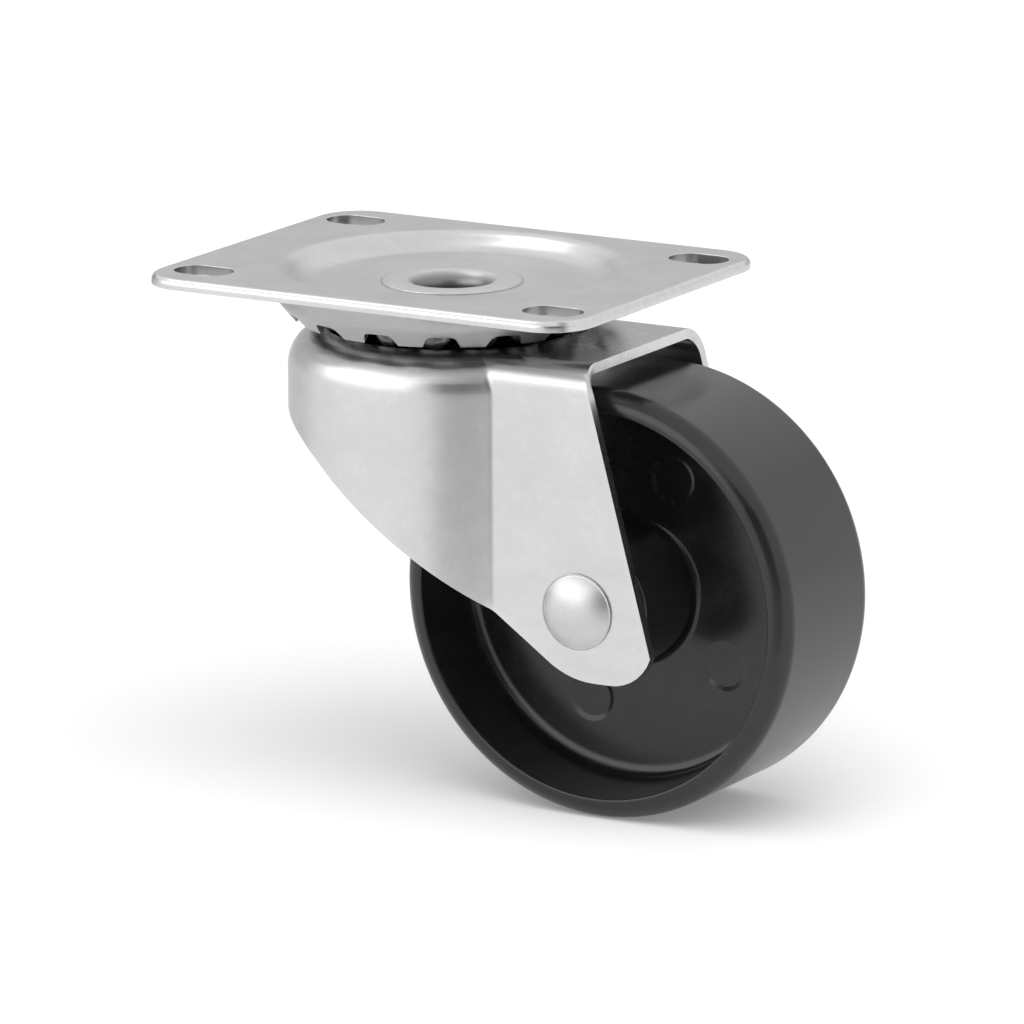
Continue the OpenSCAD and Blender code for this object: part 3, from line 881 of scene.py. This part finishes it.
def plastic_material(name):
    """Glossy black moulded plastic with faint flow marks, dust and scuffed edges."""
    s = Shader(name)
    flow = s.noise(160.0, 5.0, 0.6, s.stretched((1.0, 0.25, 1.0)), 0.6)
    dust = s.spread(s.noise(2600.0, 3.0, 0.6), 0.62, 0.75)
    edge_patches = s.math("MULTIPLY", s.attribute("edge_mark"), s.spread(s.noise(900.0, 4.0), 0.45, 0.7))
    colour = s.mix(s.spread(flow, 0.35, 0.7), (0.010, 0.010, 0.011, 1), (0.017, 0.017, 0.018, 1))
    colour = s.mix(s.math("MULTIPLY", dust, 0.05), colour, (0.16, 0.16, 0.16, 1))
    colour = s.mix(s.math("MULTIPLY", edge_patches, 0.25), colour, (0.07, 0.07, 0.072, 1))
    roughness = s.math("ADD", s.spread(flow, 0.3, 0.7, 0.17, 0.25), s.math("MULTIPLY", edge_patches, 0.12))
    normal = s.bump(s.noise(1100.0, 3.0, 0.5), 0.05, 0.00004)
    normal = s.bump(s.noise(90.0, 2.0), 0.12, 0.0001, normal)
    s.surface(Base_Color=colour, Roughness=roughness, IOR=1.51, Normal=normal)
    return s.material


def empty_tree(owner, output_kind):
    """The cleared node tree of a material or world, and its output node."""
    owner.use_nodes = True
    tree = owner.node_tree
    tree.nodes.clear()
    return tree, tree.nodes.new(output_kind)


def seen_directly(tree):
    """1 for camera, glossy and transmission rays, 0 for others."""
    path = tree.nodes.new("ShaderNodeLightPath")
    total = path.outputs["Is Camera Ray"]
    for name in ("Is Glossy Ray", "Is Transmission Ray"):
        either = tree.nodes.new("ShaderNodeMath")
        either.operation = "MAXIMUM"
        tree.links.new(total, either.inputs[0])
        tree.links.new(path.outputs[name], either.inputs[1])
        total = either.outputs[0]
    return total


def build_world():
    """White where it is seen or reflected, and a plain level of light elsewhere."""
    world = bpy.data.worlds.new("studio")
    bpy.context.scene.world = world
    tree, output = empty_tree(world, "ShaderNodeOutputWorld")
    mix = tree.nodes.new("ShaderNodeMixShader")
    tree.links.new(seen_directly(tree), mix.inputs["Fac"])
    for socket, strength in ((mix.inputs[1], WORLD_LIGHT), (mix.inputs[2], 1.0)):
        light = tree.nodes.new("ShaderNodeBackground")
        light.inputs["Color"].default_value = (1, 1, 1, 1)
        light.inputs["Strength"].default_value = strength
        tree.links.new(light.outputs[0], socket)
    tree.links.new(mix.outputs[0], output.inputs["Surface"])


def build_floor():
    """A plain pale floor that reads as white and keeps the castor's shadow."""
    bm = bmesh.new()
    bmesh.ops.create_circle(bm, cap_ends=True, segments=96, radius=FLOOR_RADIUS)
    floor = link_bmesh("floor", bm)
    floor.location.z = (AXLE_Z - WHEEL_R) * MM
    material = bpy.data.materials.new("pale_floor")
    tree, output = empty_tree(material, "ShaderNodeOutputMaterial")
    diffuse = tree.nodes.new("ShaderNodeBsdfDiffuse")
    diffuse.inputs["Color"].default_value = (FLOOR_TONE, FLOOR_TONE, FLOOR_TONE, 1)
    glow = tree.nodes.new("ShaderNodeEmission")
    scale = tree.nodes.new("ShaderNodeMath")
    scale.operation = "MULTIPLY"
    scale.inputs[1].default_value = FLOOR_GLOW
    add = tree.nodes.new("ShaderNodeAddShader")
    tree.links.new(seen_directly(tree), scale.inputs[0])
    tree.links.new(scale.outputs[0], glow.inputs["Strength"])
    tree.links.new(diffuse.outputs[0], add.inputs[0])
    tree.links.new(glow.outputs[0], add.inputs[1])
    tree.links.new(add.outputs[0], output.inputs["Surface"])
    floor.data.materials.append(material)


def direction(azimuth, elevation):
    """Unit vector towards a place round the object: azimuth 0 is the near side, 90 the trailing side."""
    a, e = math.radians(azimuth), math.radians(elevation)
    return Vector((math.sin(a) * math.cos(e), -math.cos(a) * math.cos(e), math.sin(e)))


def build_zone(name, azimuths, near, far, low, high, tone):
    """A sheet of even tone that only mirror-like reflections see: a part of the room round the light tent."""
    bm = bmesh.new()
    steps = 12
    start, end = azimuths
    ways = [direction(start + (end - start) * i / steps, 0) for i in range(steps + 1)]
    bridge_rows(bm, [ring(bm, [way * distance + Vector((0, 0, height)) for way in ways])
                     for distance, height in ((near, low), (far, high))])
    zone = link_bmesh(name, bm)
    material = bpy.data.materials.new(name)
    tree, output = empty_tree(material, "ShaderNodeOutputMaterial")
    glow = tree.nodes.new("ShaderNodeEmission")
    glow.inputs["Color"].default_value = (tone, tone, tone, 1)
    tree.links.new(glow.outputs[0], output.inputs["Surface"])
    zone.data.materials.append(material)
    zone.visible_camera = zone.visible_diffuse = zone.visible_shadow = zone.visible_transmission = False


def build_lamp(name, azimuth, elevation, distance, size, power, mirrored):
    """A soft lamp: one that lights the scene, or one that shows only as a reflection."""
    light = bpy.data.lights.new(name, "AREA")
    light.shape = "RECTANGLE"
    light.size, light.size_y = size
    light.energy = power
    lamp = link_object(name, light)
    lamp.visible_glossy, lamp.visible_diffuse = mirrored, not mirrored
    lamp.location = LAMP_TARGET + direction(azimuth, elevation) * distance
    lamp.rotation_mode = "QUATERNION"
    lamp.rotation_quaternion = (-direction(azimuth, elevation)).to_track_quat("-Z", "Y")


def build_camera():
    """The photograph's camera, from its direction, distance and offset."""
    azimuth, roll = math.radians(VIEW_AZIMUTH), math.radians(VIEW_ROLL)
    forward = -direction(VIEW_AZIMUTH, VIEW_ELEVATION)
    level = Vector((math.cos(azimuth), math.sin(azimuth), 0))
    rise = level.cross(forward)
    right = level * math.cos(roll) + rise * math.sin(roll)
    up = rise * math.cos(roll) - level * math.sin(roll)
    lens = bpy.data.cameras.new("camera")
    lens.sensor_width = SENSOR_MM
    lens.lens = FOCAL_PIXELS * SENSOR_MM / IMAGE_PIXELS
    lens.clip_start, lens.clip_end = 0.05, 20.0
    camera = link_object("camera", lens)
    place = (-VIEW_SIDE * right - VIEW_LIFT * up - VIEW_DISTANCE * forward) * MM
    turn = Matrix((right, up, -forward)).transposed().to_4x4()
    camera.matrix_world = Matrix.Translation(place) @ turn
    bpy.context.scene.camera = camera


def build_studio():
    """Camera, background, floor, reflected zones and lamps."""
    build_camera()
    build_world()
    build_floor()
    for zone in ZONES:
        build_zone(*zone)
    for lamp in LAMPS:
        build_lamp(*lamp)
    bpy.context.scene.view_settings.view_transform = "Standard"


def build_castor():
    """The visible pieces, and the steel of the bearing's inner CAD parts, darkened as painted shade."""
    # painted_edge_tone paints a highlight on the sheet's and cover's edges (0.70, 0.50) and a shade line
    # round the rivets' edges (0.40)
    sheet_zinc = zinc_material("zinc_sheet", 0.64, 0.30, 0.025, painted_edge_tone=0.70)
    # The cover's zinc is a darker copy of the sheet's (tone 0.44 against 0.64), as painted shade under the
    # plate
    shaded_cover_zinc = zinc_material("zinc_cover_shaded", 0.44, 0.36, 0.04, painted_edge_tone=0.50)
    # bore=True paints shade in the king pin's bore
    rivet_zinc = zinc_material("zinc_rivet", 0.62, 0.40, 0.04, painted_edge_tone=0.40, bore=True)
    steel = steel_material("bearing_steel")
    build_plate(sheet_zinc)
    build_king_pin(rivet_zinc)
    build_cover(shaded_cover_zinc)
    build_fork(sheet_zinc)
    build_rivet(rivet_zinc)
    build_wheel(plastic_material("black_plastic"))
    for node_name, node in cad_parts.items():
        if "ball" in node_name or node_name in ("lower_race", "axle_sleeve"):
            node.data.materials.clear()
            node.data.materials.append(steel)


build_studio()
build_castor()
